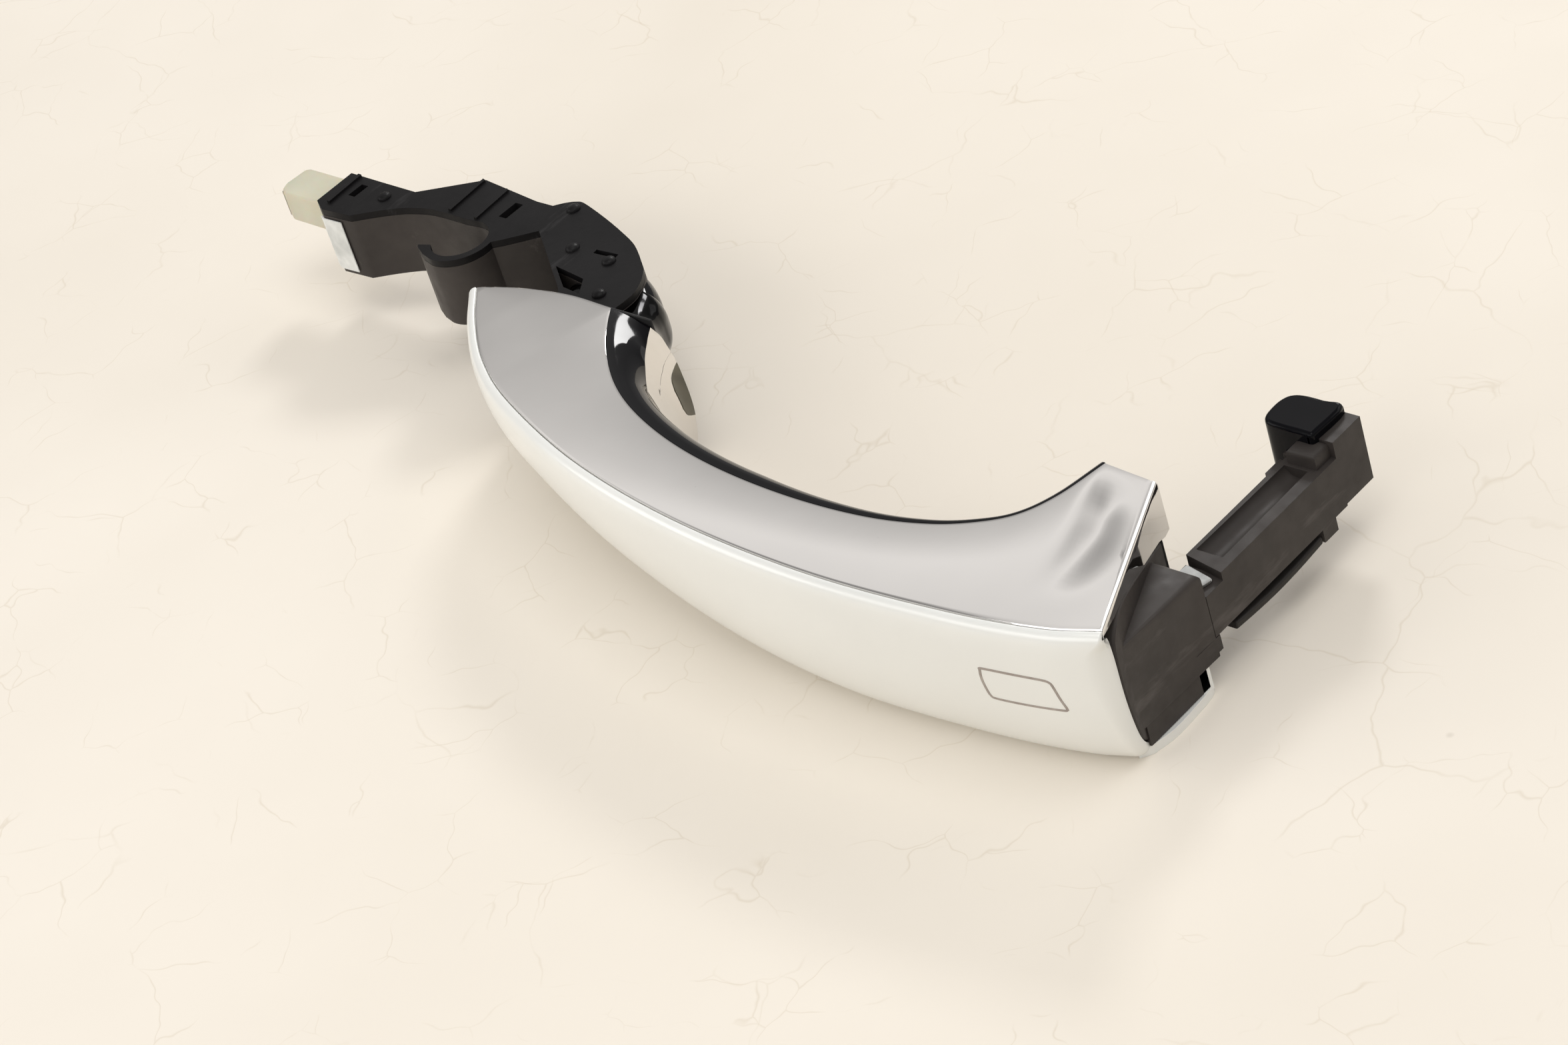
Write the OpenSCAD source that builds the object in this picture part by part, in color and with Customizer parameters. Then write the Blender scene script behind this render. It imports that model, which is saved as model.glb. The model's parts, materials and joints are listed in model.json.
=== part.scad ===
// Exterior car door handle with a front pivot gooseneck and a rear pull arm.
// Origin: centre of the front pivot seat. +X runs back along the grip, +Y points into the door,
// +Z points up, square to the flat top trim.

/* [Grip] */
// Height of the flat top trim above the pivot centre
top_z = 18; // [17:0.5:20]
// Height of the grip from its flat underside to the top trim
grip_h = 41; // [39:0.5:44]
// How far the painted face bulges past the edge of the top trim
shell_bulge = 3; // [2:0.5:4]
// Wall thickness of the painted shell
shell_wall = 2.4; // [1.6:0.2:3]
// Thickness of the bright trims
trim_wall = 1.6; // [1.2:0.1:2]
// Radius of the black lining where it rolls over the grip's inner edge
lining_r = 6.6; // [5:0.2:8]

/* [Gooseneck] */
// Radius of the C-shaped pivot seat
seat_r = 7.5; // [6.5:0.1:8]
// Height of the gooseneck, cover included
neck_h = 20; // [18:0.5:22]
// Thickness of the cover plate
cover_t = 2; // [1.5:0.1:3]
// Thickness of the lip that hooks round the pivot
lip_t = 2.4; // [2:0.1:3]

/* [Pull arm] */
// Width of the pull arm along the grip
arm_w = 11; // [9:0.5:13]
// Height of the pull arm
arm_h = 13; // [11:0.5:13.5]
// Reach of the pull arm's end past the pivot's centre line into the door
arm_reach = 25.5; // [22:0.5:30]
// Thickness of the anti-rattle spring
spring_t = 2.2; // [1.6:0.1:2.6]
// Gap between the anti-rattle spring and the arm
spring_gap = 1.2; // [1:0.1:1.6]

/* [Connector] */
// Width of the connector shell
plug_w = 13; // [11:0.5:14]
// Height of the connector shell
plug_h = 9; // [8:0.5:10]
// Number of contacts in the connector
pin_count = 4; // [3:1:5]

/* [Hidden] */
$fn = 48;

base_z = top_z - grip_h;
neck_top = neck_h / 2;
neck_low = -neck_h / 2;
cover_low = neck_top - cover_t;
// Top of the hook nose and underside of the pull arm
hook_top = 9.6;
arm_low = -10;
steps = 4;
gap = 0.2;

// Plan of the top trim: outer edge, inner edge of the finger hollow, and the foot along the door
outer_edge = [[33, -22.5], [43.5, -33.5], [58, -45.3], [77, -55.4], [111, -67], [150, -74.3],
    [192, -76.8], [230, -74.6], [254, -70.8], [267, -66.2]];
inner_edge = [[75, -16.5], [79, -22], [86, -30], [98, -39.7], [112, -46.9], [130, -52.6],
    [150, -56], [172, -57.2], [192, -56], [207, -52.6], [217, -48], [224.5, -42], [229, -33],
    [231.7, -20]];
foot_edge = [[33, -22.5], [45, -18.6], [60, -16.2], [75, -16.5]];
end_low = [246.4, -20.6];
end_high = [267, -66.2];
end_dir = (end_high - end_low) / norm(end_high - end_low);
end_out = [-end_dir[1], end_dir[0]];
arm_face = 265;
// Point on the slanted rear end, u along it from its door side and v out of it
function end_at(u, v) = end_low + end_dir * u + end_out * v;

// Catmull-Rom curve through a list of points
function blend(a, b, c, d, t) = 0.5 * (2 * b + (c - a) * t + (2 * a - 5 * b + 4 * c - d) * t * t
    + (3 * b - a - 3 * c + d) * t * t * t);
function padded(p) = concat([2 * p[0] - p[1]], p, [2 * p[len(p) - 1] - p[len(p) - 2]]);
function curve(p, n) = let (q = padded(p)) concat(
    [for (i = [1 : len(q) - 3]) for (k = [0 : n - 1]) blend(q[i - 1], q[i], q[i + 1], q[i + 2], k / n)],
    [p[len(p) - 1]]);
function reversed(p) = [for (i = [len(p) - 1 : -1 : 0]) p[i]];
// Unit normal on the right-hand side of a path, at its point i
function side(p, i) = let (d = p[min(i + 1, len(p) - 1)] - p[max(i - 1, 0)]) [d[1], -d[0]] / norm(d);
function shifted(p, d) = [for (i = [0 : len(p) - 1]) p[i] + side(p, i) * d];
function ribbon(p, w) = concat(shifted(p, w / 2), reversed(shifted(p, -w / 2)));
function clamp(v, low, high) = max(low, min(high, v));

outer_path = curve(outer_edge, steps);
inner_path = curve(inner_edge, steps);
foot_path = curve(foot_edge, steps);

// The painted face tucks under further and further towards the front tip
function tuck(x) = min(12 + 24 * pow(max(200 - x, 0) / 120, 2), 10 + (x - 33) * 0.9, 34);
function shell_section(x) = let (w = tuck(x), b = shell_bulge, s = shell_wall, h = grip_h - 5) concat(
    [[0.3, top_z], [b * 0.6, top_z - 0.5], [b * 0.9, top_z - 2]],
    [for (a = [0 : 11.25 : 90]) [b - w + w * cos(a), top_z - 5 - h * sin(a)]],
    [for (a = [90 : -11.25 : 0]) [b - w + (w - s) * cos(a), top_z - 5 - (h - s) * sin(a)]],
    [[0.3, top_z - 3]]);
// The wall and its lining flare out where they meet the front foot, and thin down at the rear one
function flare(x) = clamp(1 - (x - 75) / 14, 0, 1);
function wall_size(u, x) = clamp(1.9 - 1.8 * u, 0.35, 1) * (1 + pow(flare(x), 2));
function gap_side(p, i) = let (v = flare(p[i][0]) * [1, 0] - (1 - flare(p[i][0])) * side(p, i)) v / norm(v);
// Sections of the lining and of the bright inner wall, as [distance into the finger gap, height]
function lining_section(k) = let (r = lining_r * k) concat(
    [for (a = [90 : -15 : 0]) [r * cos(a), top_z - r + r * sin(a)]],
    [for (a = [0 : 15 : 90]) [(r - trim_wall * k) * cos(a), top_z - r + (r - trim_wall * k) * sin(a)]]);
// The wall bows out at mid height, rolls under and runs back as a floor of the given depth
function bow(k, a) = lining_r * k * (1 - 0.8 * pow(a, 3)) + 2.5 * k * sin(180 * a);
function wall_section(k, floor_d) = let (z = top_z - lining_r * k, h = z - base_z, t = trim_wall)
    concat(
    [for (a = [0 : 0.125 : 1]) [bow(k, a), z - h * a]], [[-floor_d, base_z], [-floor_d, base_z + t]],
    [for (a = [1 : -0.125 : 0]) [bow(k, a) - t, z - (h - t) * a]]);
function floor_depth(u) = lookup(u, [[0, 8], [0.7, 8], [0.9, 24], [1, 16]]);
// Inner border of that floor in plan, moved d further in, and the corners of the door's side of the grip
function floor_border(d) = let (p = inner_path, last = len(p) - 1)
    [for (i = [0 : last]) p[i] - gap_side(p, i) * (floor_depth(i / last) + d)];
door_side = [[260, 20], [30, 20]];
// Line of the shell's inside face at height z, in plan
function inside_line(z) = [for (i = [0 : len(outer_path) - 1]) let (w = tuck(outer_path[i][0]),
    a = asin(min(1, (top_z - 5 - z) / (grip_h - 5 - shell_wall))))
    outer_path[i] + side(outer_path, i) * (shell_bulge - w + (w - shell_wall) * cos(a) - 2 * gap)];

// Joins matching closed sections into one solid
module loft(rings) {
    n = len(rings[0]);
    m = len(rings);
    points = [for (r = rings) for (p = r) p];
    sides = [for (i = [0 : m - 2]) for (j = [0 : n - 1]) let (k = (j + 1) % n)
        [i * n + j, i * n + k, (i + 1) * n + k, (i + 1) * n + j]];
    caps = [[for (j = [n - 1 : -1 : 0]) j], [for (j = [0 : n - 1]) (m - 1) * n + j]];
    polyhedron(points = points, faces = concat(sides, caps), convexity = 8);
}

// Region to the front of the slanted rear end, moved back by d
module ahead_of_end(d = 0) {
    a = end_at(-30, -d);
    b = end_at(80, -d);
    translate([0, 0, -60])
        linear_extrude(120) polygon([a, b, b - [400, 0], a - [400, 0]]);
}

module slab(z0, z1, points) {
    translate([0, 0, z0]) linear_extrude(z1 - z0) polygon(points);
}

module block(low, high) {
    translate(low) cube(high - low);
}

module outer_shell() {
    path = outer_path;
    color([0.9, 0.91, 0.91]) difference() {
        intersection() {
            loft([for (i = [0 : len(path) - 1]) let (s = shell_section(path[i][0]), n = side(path, i),
                    e = i == len(path) - 1 ? [2, 0.6] : [0, 0])
                [for (p = s) [path[i][0] + n[0] * p[0] + e[0], path[i][1] + n[1] * p[0] + e[1], p[1]]]]);
            ahead_of_end(0.2);
        }
        // Where the bright wall, its floor and the front foot's face take over
        slab(base_z - 1, base_z + 20, concat(shifted(inner_path, trim_wall + gap), door_side));
        slab(base_z - 1, base_z + trim_wall + gap, concat(floor_border(gap), door_side));
        slab(base_z - 1, base_z + 20, concat(shifted(foot_path, gap), [[75, 20], [30, 20]]));
    }
}

// Part of the rim from height z0 up, from u0 to u1 along the rear end
module rim_bar(z0, u0, u1) {
    slab(z0, top_z - 1, [end_at(u0, 0), end_at(u1, 0), end_at(u1, -trim_wall), end_at(u0, -trim_wall)]);
}

module top_trim() {
    plan = concat(outer_path, [end_low], reversed(inner_path), reversed(foot_path));
    color([0.82, 0.82, 0.83]) {
        slab(top_z - trim_wall, top_z, plan);
        // Rim that turns down over the slanted rear end
        rim_bar(top_z - 14, 0, 12);
        rim_bar(top_z - 4, 11, norm(end_high - end_low));
    }
}

module lower_trim() {
    path = inner_path;
    last = len(path) - 1;
    color([0.8, 0.8, 0.81]) difference() {
        loft([for (i = [0 : last]) let (u = i / last, n = gap_side(path, i),
                s = wall_section(wall_size(u, path[i][0]), floor_depth(u)))
            [for (p = s) [path[i][0] + n[0] * p[0], path[i][1] + n[1] * p[0], p[1]]]]);
        // Window for the courtesy light
        block([84, -26, -8], [104, -18.5, 4]);
    }
}

module grip_lining() {
    path = inner_path;
    last = len(path) - 1;
    color([0.03, 0.03, 0.04])
        loft([for (i = [0 : last]) let (n = gap_side(path, i),
                s = lining_section(wall_size(i / last, path[i][0])))
            [for (p = s) [path[i][0] + n[0] * p[0], path[i][1] + n[1] * p[0], p[1]]]]);
}

screw_spots = [[240, -44], [236, -58]];

module grip_core() {
    color([0.1, 0.1, 0.11]) difference() {
        intersection() {
            slab(base_z + 6, top_z - trim_wall - gap, [[56, -34], [78, -43], [112, -57], [150, -66],
                [192, -69],
                [226, -68], [254, -64], [262, -45], [246, -24], [236, -26], [229, -45], [217, -51],
                [207, -56],
                [192, -59.5], [172, -60.5], [150, -59.5], [130, -56.5], [112, -51], [98, -44], [86, -36],
                [74, -26], [66, -24.6], [56, -26]]);
            ahead_of_end(6.4);
            // It steps in towards its underside, as the painted face does
            union() for (z = [[-2, top_z], [-10, -2], [base_z + 6, -10]])
                slab(z[0], z[1], concat(inside_line(z[0]), door_side));
        }
        // Trough for the electronics
        block([152, -67, -4], [222, -60.8, top_z]);
        // Room for the courtesy light in the front foot
        block([70, -32, -10], [90, -14, 6]);
        // Screw holes in the rear foot
        for (p = screw_spots) translate([p[0], p[1], base_z + 5]) cylinder(r = 1.6, h = 16);
    }
}

module end_cap() {
    // Base in steps of [lowest, highest, width], as the painted face tucks under beside it
    levels = [[-6, top_z - 5, 47], [-14, -6, 45.4], [base_z + 4, -14, 42.6]];
    color([0.15, 0.14, 0.14]) difference() {
        union() {
            intersection() {
                for (n = levels)
                    slab(n[0], n[1], [end_at(5, 0), end_at(n[2], 0), end_at(n[2] - 2, -6), end_at(7, -6)]);
                translate([240, -45, -3]) rotate([0, 90, 0]) cylinder(r = 34, h = 80, center = true);
            }
            slab(-15, 8, [end_at(14, -3), end_at(43, -3), [arm_face, -60], [arm_face, -33.5]]);
            slab(base_z + 4, -14, [end_at(20, -3), end_at(42, -3), [arm_face, -60], [arm_face, -38]]);
            slab(-14, -10.2, [end_at(14, 0), [arm_face, -38], [arm_face, -32], [255, -32]]);
        }
        // Deep pocket above the arm root, and the trim's turned-down rim
        block([250, -50, 4], [258, -38, 12]);
        slab(top_z - 14.2, top_z, [end_at(-2, 1), end_at(12.2, 1), end_at(12.2, -trim_wall - gap),
            end_at(-2, -trim_wall - gap)]);
    }
}

module arm_root_pad() {
    color([0.85, 0.88, 0.92]) block([arm_face - arm_w + 0.5, -33.3, 1.2], [arm_face - 1, -27.5, 3]);
}

module pull_arm() {
    x0 = arm_face - arm_w;
    z0 = arm_low;
    z1 = z0 + arm_h;
    color([0.12, 0.11, 0.11]) difference() {
        union() {
            block([x0, -27.3, z0], [arm_face, 12, z1]);
            block([x0, -33.3, z0], [arm_face, -27.3, 1]);
            block([x0 - 2, 12, z0], [arm_face, arm_reach, z1 - 2]);
            block([arm_face - 4, 13.5, z0 + 1], [arm_face, arm_reach, 7.5]);
            block([x0, 6, z0 - 3.6], [arm_face, 11, z0 + 1]);
        }
        // Long groove in the upper face
        block([x0 + 2.5, -24, z1 - 1.2], [arm_face - 3.5, 9, z1 + 1]);
    }
}

module hook_nose() {
    z1 = arm_low + arm_h - 1.8;
    color([0.04, 0.04, 0.045]) {
        slab(z1, hook_top, [[251, 12], [arm_face - 4.3, 12], [arm_face - 4.3, arm_reach],
            [251, arm_reach], [248.8, arm_reach - 2.2], [248, 22], [248, 15], [248.8, 12.9]]);
        // Rest button beside the hook
        translate([258, 8.5, arm_low + arm_h]) cylinder(r = 3, h = 3);
    }
}

module anti_rattle_spring() {
    z1 = arm_low - spring_gap;
    color([0.09, 0.09, 0.09])
        block([arm_face - arm_w + 1, -26.5, z1 - spring_t], [arm_face - 0.5, 5.6, z1]);
}

module seat_void() {
    // Round seat, open to the left so that the pivot can hook in
    cylinder(r = seat_r, h = 80, center = true);
    translate([0, 0, -40]) linear_extrude(80)
        polygon([[0, -seat_r], [-9, -seat_r + 0.5], [-12, -16], [-50, -16], [-49, -3.5], [-40, -2.5],
            [-34, 0.5],
            [-29, 4.5], [-19, seat_r], [0, seat_r]]);
}

stake_spots = [[22, 21.3], [35, 7.5], [49, 6.5], [57, -5.5], [-36, 7]];
wire_route = [[-49, 8], [-44, 10], [-31, 10.8], [-15, 15.6], [20, 16.2], [41, 13.6], [56.2, 4],
    [58.5, -24]];
hook_arc = [for (a = [-15 : -15 : -90]) (seat_r + lip_t) * [cos(a), sin(a)]];
neck_plan = concat([[-55, -1], [-55, 12.5], [-42, 12], [-29, 12], [-13, 23.5], [9, 20.5], [15, 20.5],
    [22, 24.5],
    [33, 21.5], [46, 17], [58, 9.5], [64, 2], [66, -5], [65, -13], [50, -13], [51, -5], [38.6, -1],
    [22.5, 8.4]], hook_arc, [[-9, -seat_r - lip_t + 1.4], [-10, -seat_r + 0.3], [-18, -3], [-50, -3.8]]);

module gooseneck() {
    color([0.17, 0.15, 0.14]) difference() {
        union() {
            slab(neck_low, cover_low, neck_plan);
            // Tongue that runs into the front foot
            block([50, -24.2, neck_low + 1], [65, -13, cover_low]);
        }
        seat_void();
        // Socket for the connector at the front end
        block([-56, 0.3, -3], [-49, 12, 7]);
        // Wire channel under the cover
        slab(2, neck_top, ribbon(wire_route, 3));
    }
}

module gooseneck_cover() {
    color([0.16, 0.15, 0.15]) difference() {
        slab(cover_low, neck_top, neck_plan);
        seat_void();
        for (p = stake_spots) translate([p[0], p[1], 0]) cylinder(r = 1.1, h = 40);
        // Inspection slot, sight hole and triangular opening
        block([41, 8.4, 0], [46, 10.6, 40]);
        slab(0, 40, [[38.5, 0.3], [49, -3], [50.5, -8], [47, -9]]);
    }
}

module heat_stakes() {
    color([0.2, 0.19, 0.19]) for (p = stake_spots) translate([p[0], p[1], cover_low])
        rotate_extrude($fn = 32) polygon([[0, 0], [1, 0], [1, cover_t], [1.9, cover_t],
            [1.6, cover_t + 0.7],
            [0.8, cover_t + 1.1], [0, cover_t + 1.2]]);
}

module connector_shell() {
    y0 = 7 - plug_w / 2;
    color([0.88, 0.87, 0.76]) difference() {
        block([-76, y0, -2], [-50, y0 + plug_w - 1.8, -2 + plug_h - 0.2]);
        block([-77, y0 + 1.4, -0.6], [-58, y0 + plug_w - 3.2, -2 + plug_h - 1.6]);
        for (i = [0 : pin_count - 1]) translate([-60, 3.1 + i * 2.2, 2.4]) rotate([0, 90, 0])
            cylinder(r = 0.5, h = 12);
    }
}

module connector_pins() {
    color([0.85, 0.68, 0.3]) for (i = [0 : pin_count - 1]) translate([-65.5, 3.1 + i * 2.2, 2.4])
        rotate([0, 90, 0]) cylinder(r = 0.45, h = 15);
}

module rounded_plate(low, high, r) {
    // Plate in the XZ plane with round corners, from low to high
    w = high[0] - low[0];
    h = high[2] - low[2];
    translate([low[0], high[1], low[2]]) rotate([90, 0, 0]) linear_extrude(high[1] - low[1])
        translate([r, r]) offset(r = r, $fn = 32) square([w - 2 * r, h - 2 * r]);
}

module neck_collar() {
    color([0.03, 0.03, 0.035]) difference() {
        rounded_plate([42, -9, neck_low - 5], [76, 0, cover_low - 0.4], 10);
        slab(neck_low, neck_top, [for (p = neck_plan) if (p[0] > 36) p]);
        block([49, -14, neck_low], [66, -8, 40]);
        block([36, -10, neck_low], [52, 6, 40]);
    }
}

module collar_ring() {
    color([0.75, 0.75, 0.75]) difference() {
        rounded_plate([40, -13, neck_low - 7], [80, -9, top_z - 6], 12);
        block([49, -14, neck_low], [66.2, -8, neck_top + 0.2]);
        block([36, -10, neck_low], [52, 6, 40]);
        block([47, -14, cover_low - 0.3], [66.2, -8, neck_top + 0.2]);
    }
}

module front_gasket() {
    back = [[42, -16.2], [46, -14.5], [60, -13.1], [88, -13.1]];
    face = [[88, -16.1], [75, -16.1], [60, -15.8], [46, -17.9], [42, -19.1]];
    color([0.05, 0.05, 0.05]) difference() {
        slab(base_z + 3, top_z - 0.8, concat(back, face));
        block([49, -30, neck_low], [66.2, -8, neck_top + 0.2]);
    }
}

module rear_gasket() {
    color([0.06, 0.06, 0.06]) block([233, -23.4, base_z + 5], [243.5, -20.8, top_z - 16]);
}

module light_lens() {
    color([0.45, 0.45, 0.38]) block([86.5, -25.8, -7.8], [93.6, -18.7, 3.8]);
}

module light_board() {
    color([0.1, 0.35, 0.2]) block([80, -27, -8], [81.2, -17, 4]);
}

module light_leds() {
    color([0.95, 0.95, 0.85]) for (z = [-5, 0.5]) block([81.2, -24, z], [82.4, -20.5, z + 2.2]);
}

module sensor_board() {
    color([0.08, 0.32, 0.18]) block([153, -66.8, -3.8], [221, -61, -2.6]);
}

module board_chips() {
    color([0.06, 0.06, 0.07]) for (x = [158, 170, 214]) block([x, -65.5, -2.6], [x + 5, -62, -1.4]);
}

module lock_electrode() {
    color([0.8, 0.5, 0.3]) translate([248, -66.2, 0]) rotate([0, 0, 12]) cube([16, 0.4, 12], center = true);
}

module unlock_electrode() {
    color([0.8, 0.5, 0.3]) block([154, -61.4, -1], [220, -61, 6]);
}

module ferrite_rod() {
    color([0.2, 0.2, 0.22]) block([160, -65.4, 5], [214, -62.6, 7]);
}

module antenna_coil() {
    // Winding round the rod, as separate bands of turns
    color([0.75, 0.42, 0.2]) for (x = [166 : 6 : 206]) difference() {
        block([x, -65.9, 4.5], [x + 4.6, -62.1, 7.5]);
        block([x - 1, -65.4, 5], [x + 6, -62.6, 7]);
    }
}

module lead_wires() {
    color([0.25, 0.25, 0.55]) for (z = [3, 4.6]) slab(z, z + 1, ribbon(wire_route, 1));
}

module carrier_screws() {
    color([0.6, 0.6, 0.62]) for (p = screw_spots) translate([p[0], p[1], 0]) {
        translate([0, 0, base_z + 3.4]) cylinder(r = 2.8, h = 2.6);
        translate([0, 0, base_z + 5.5]) cylinder(r = 1.5, h = 14);
    }
}

module sensor_mark() {
    // Fine outline of the lock touch area on the painted face
    color([0.55, 0.52, 0.48]) translate([248, -75.3, 0]) rotate([0, 0, 9.5]) rotate([90, 0, 0])
        linear_extrude(0.8) difference() {
            square([22, 8], center = true);
            square([21, 7], center = true);
        }
}

module label_sticker() {
    color([0.92, 0.93, 0.92])
        slab(-9, cover_low - 0.4, [[-49.8, -4.05], [-40.6, -3.75], [-40.6, -3.5], [-49.8, -3.8]]);
}

outer_shell();
top_trim();
lower_trim();
grip_lining();
grip_core();
end_cap();
pull_arm();
hook_nose();
arm_root_pad();
anti_rattle_spring();
gooseneck();
gooseneck_cover();
heat_stakes();
connector_shell();
connector_pins();
neck_collar();
collar_ring();
front_gasket();
rear_gasket();
light_lens();
light_board();
light_leds();
sensor_board();
board_chips();
lock_electrode();
unlock_electrode();
ferrite_rod();
antenna_coil();
lead_wires();
carrier_screws();
sensor_mark();
label_sticker();
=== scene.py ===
"""Looks of a car door handle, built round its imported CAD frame. Lengths in the code are in millimetres."""

import json
import math

import bmesh
import bpy
import numpy as np
from mathutils import Matrix, Vector


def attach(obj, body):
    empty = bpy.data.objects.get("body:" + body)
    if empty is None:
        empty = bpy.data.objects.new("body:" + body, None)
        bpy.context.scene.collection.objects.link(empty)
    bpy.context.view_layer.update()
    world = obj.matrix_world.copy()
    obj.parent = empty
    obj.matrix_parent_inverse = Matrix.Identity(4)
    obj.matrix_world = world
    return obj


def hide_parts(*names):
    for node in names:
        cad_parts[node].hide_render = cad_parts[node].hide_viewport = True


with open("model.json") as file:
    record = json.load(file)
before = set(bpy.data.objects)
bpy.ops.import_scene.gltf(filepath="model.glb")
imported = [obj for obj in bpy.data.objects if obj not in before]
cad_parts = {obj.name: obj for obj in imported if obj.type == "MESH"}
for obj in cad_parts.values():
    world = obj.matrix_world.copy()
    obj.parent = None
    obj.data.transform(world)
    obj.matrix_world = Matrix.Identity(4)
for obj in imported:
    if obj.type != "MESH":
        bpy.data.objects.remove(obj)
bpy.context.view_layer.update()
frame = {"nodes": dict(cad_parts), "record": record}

MM = 0.001
TOP_Z = 18.0         # flat top of the grip
BASE_Z = -23.0       # what the handle lies on
ARM_FACE = 265.0     # outer side of the pull arm
NECK_TOP = 10.0      # top of the gooseneck's cover
COVER_SEAM = 8.0     # where that cover starts
SHARP = 35.0         # edges that bend by more than this many degrees stay crisp

# Plan outlines of the grip, as the CAD has them
OUTER_EDGE = [(33, -22.5), (43.5, -33.5), (58, -45.3), (77, -55.4), (111, -67), (150, -74.3),
              (192, -76.8), (230, -74.6), (254, -70.8), (267, -66.2)]
INNER_EDGE = [(75, -16.5), (79, -22), (86, -30), (98, -39.7), (112, -46.9), (130, -52.6),
              (150, -56), (172, -57.2), (192, -56), (207, -52.6), (217, -48), (224.5, -42),
              (229, -33), (231.7, -20)]
FOOT_EDGE = [(33, -22.5), (45, -18.6), (60, -16.2), (75, -16.5)]
END_LOW = np.array([246.4, -20.6])
END_HIGH = np.array([267, -66.2])
END_LENGTH = float(np.linalg.norm(END_HIGH - END_LOW))
END_DIR = (END_HIGH - END_LOW) / END_LENGTH
END_OUT = np.array([-END_DIR[1], END_DIR[0]])


# ---------------------------------------------------------------- curves and meshes

def spline(points, per_span):
    """Catmull-Rom curve through the points."""
    p = np.array(points, float)
    q = np.vstack([2 * p[0] - p[1], p, 2 * p[-1] - p[-2]])
    out = []
    for i in range(1, len(q) - 2):
        a, b, c, d = q[i - 1:i + 3]
        for t in np.arange(per_span) / per_span:
            out.append(0.5 * (2 * b + (c - a) * t + (2 * a - 5 * b + 4 * c - d) * t ** 2
                              + (3 * b - a - 3 * c + d) * t ** 3))
    return np.array(out + [p[-1]])


def run_length(path):
    """How far along the path each of its points lies."""
    return np.concatenate([[0], np.cumsum(np.linalg.norm(np.diff(path, axis=0), axis=1))])


def resample(path, count):
    """The path at count points, evenly spaced along its length."""
    at = run_length(path)
    want = np.linspace(0, at[-1], count)
    return np.stack([np.interp(want, at, path[:, k]) for k in range(path.shape[1])], 1)


def right_side(path):
    """Unit normals on the right-hand side of a plan path."""
    d = np.gradient(path, axis=0)
    n = np.stack([d[:, 1], -d[:, 0]], 1)
    return n / np.linalg.norm(n, axis=1)[:, None]


def smooth(low, high, x):
    """0 below low, 1 above high, and an even S between."""
    t = np.clip((np.asarray(x, float) - low) / (high - low), 0, 1)
    return t * t * (3 - 2 * t)


def end_at(u, v):
    """Point on the slanted rear end, u along it from its door side and v out of it."""
    return END_LOW + END_DIR * u + END_OUT * v


def set_out(p, g, section):
    """A section of (out, height) stood up at a plan point p, facing along g."""
    return [(p[0] + g[0] * o, p[1] + g[1] * o, z) for o, z in section]


def new_piece(name, verts, faces):
    """A smooth-shaded piece from points in millimetres, with its sharp edges kept crisp."""
    mesh = bpy.data.meshes.new(name)
    mesh.from_pydata([tuple(v) for v in np.asarray(verts, float) * MM], [], [tuple(f) for f in faces])
    mesh.validate()
    mesh.shade_smooth()
    mesh.set_sharp_from_angle(angle=math.radians(SHARP))
    obj = bpy.data.objects.new(name, mesh)
    bpy.context.scene.collection.objects.link(obj)
    return obj


def grid_faces(rows, cols, wrap=False):
    """Quads between the points of a grid, closed across its columns if they wrap."""
    last = cols if wrap else cols - 1
    return [(i * cols + j, i * cols + (j + 1) % cols, (i + 1) * cols + (j + 1) % cols, (i + 1) * cols + j)
            for i in range(rows - 1) for j in range(last)]


def closed_loft(name, rings):
    """A solid through matching closed sections."""
    rings = np.asarray(rings, float)
    rows, cols = rings.shape[:2]
    faces = grid_faces(rows, cols, wrap=True)
    faces.append(tuple(range(cols - 1, -1, -1)))
    faces.append(tuple((rows - 1) * cols + j for j in range(cols)))
    return new_piece(name, rings.reshape(-1, 3), faces)


def fix_normals(obj):
    """Turns every face of a piece outwards."""
    bm = bmesh.new()
    bm.from_mesh(obj.data)
    bmesh.ops.recalc_face_normals(bm, faces=bm.faces)
    bm.to_mesh(obj.data)
    bm.free()
    return obj


def wall_between(name, outer, inner):
    """A solid between two matching sheets of points."""
    outer, inner = np.asarray(outer, float), np.asarray(inner, float)
    rows, cols = outer.shape[:2]
    half = rows * cols
    faces = grid_faces(rows, cols)
    faces += [tuple(half + k for k in reversed(f)) for f in faces]
    ring = list(range(cols)) + [i * cols + cols - 1 for i in range(1, rows)]
    ring += [(rows - 1) * cols + j for j in range(cols - 2, -1, -1)]
    ring += [i * cols for i in range(rows - 2, 0, -1)]
    faces += [(b, a, half + a, half + b) for a, b in zip(ring, ring[1:] + ring[:1])]
    made = new_piece(name, np.vstack([outer.reshape(-1, 3), inner.reshape(-1, 3)]), faces)
    return fix_normals(made)


def counterclockwise(points):
    """A plan outline as an array that runs counterclockwise."""
    p = np.asarray(points, float)
    if np.sum(p[:, 0] * np.roll(p[:, 1], -1) - np.roll(p[:, 0], -1) * p[:, 1]) < 0:
        p = p[::-1]
    return p


def prism(name, points, z0, z1):
    """A plate with the given plan between two heights."""
    p = counterclockwise(points)
    n = len(p)
    verts = [(x, y, z0) for x, y in p] + [(x, y, z1) for x, y in p]
    faces = [tuple(range(n - 1, -1, -1)), tuple(range(n, 2 * n))]
    faces += [(i, (i + 1) % n, n + (i + 1) % n, n + i) for i in range(n)]
    return new_piece(name, verts, faces)


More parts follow.
